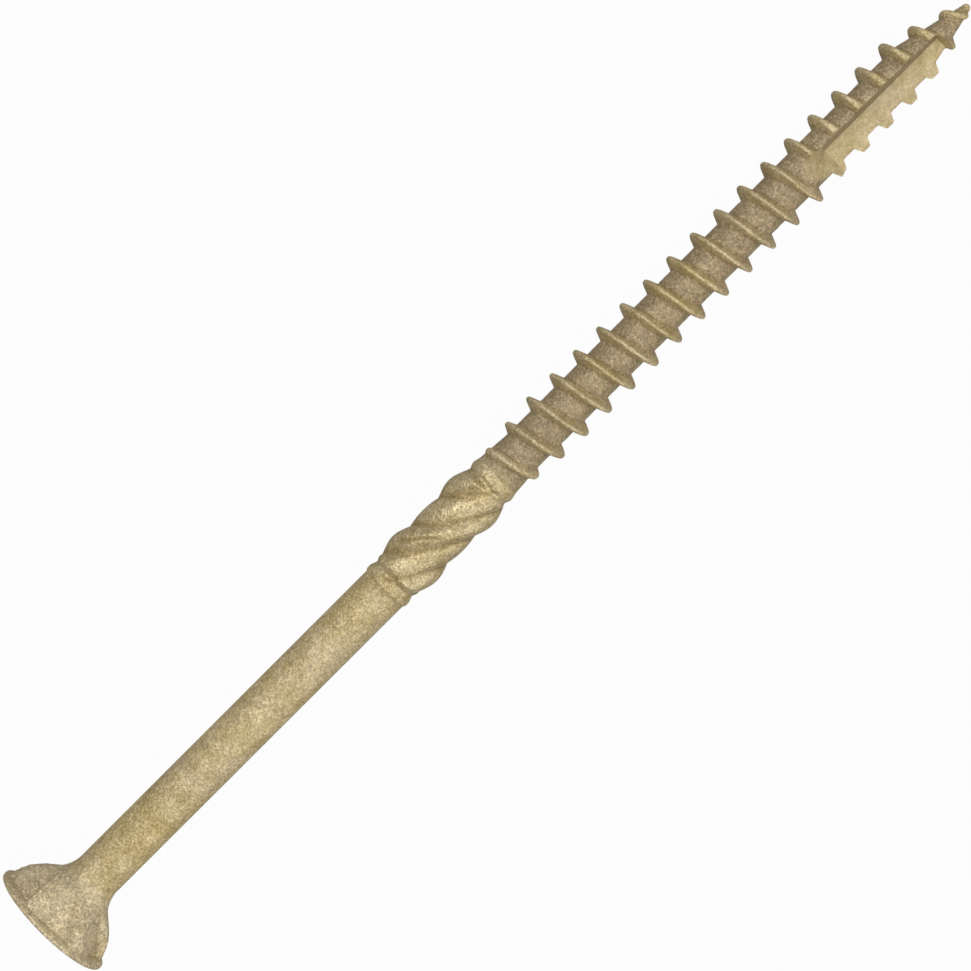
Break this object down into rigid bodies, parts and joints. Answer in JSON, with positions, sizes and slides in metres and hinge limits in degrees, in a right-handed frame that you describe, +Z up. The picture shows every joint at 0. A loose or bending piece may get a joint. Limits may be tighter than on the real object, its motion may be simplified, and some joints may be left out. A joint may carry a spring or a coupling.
{
  "type": "construction screw",
  "caption": "Long countersunk construction screw with six-lobe drive recess, cutting pockets under the head, plain shank, milling ribs, coarse part thread and notched point.",
  "frame": {"origin": "middle of the footprint on the floor that the screw lies on", "axes": "+X along the screw towards its tip, +Y sideways, +Z up; the screw lies on its head's rim and its thread, so its own axis falls about 1.6 degrees towards the tip"},
  "size_m": [0.1502, 0.0156, 0.0157],
  "materials": {
    "coated_steel": "satin golden-olive coating on steel, slightly speckled"
  },
  "bodies": {
    "root": {"construction_screw": "coated_steel"}
  },
  "joints": []
}
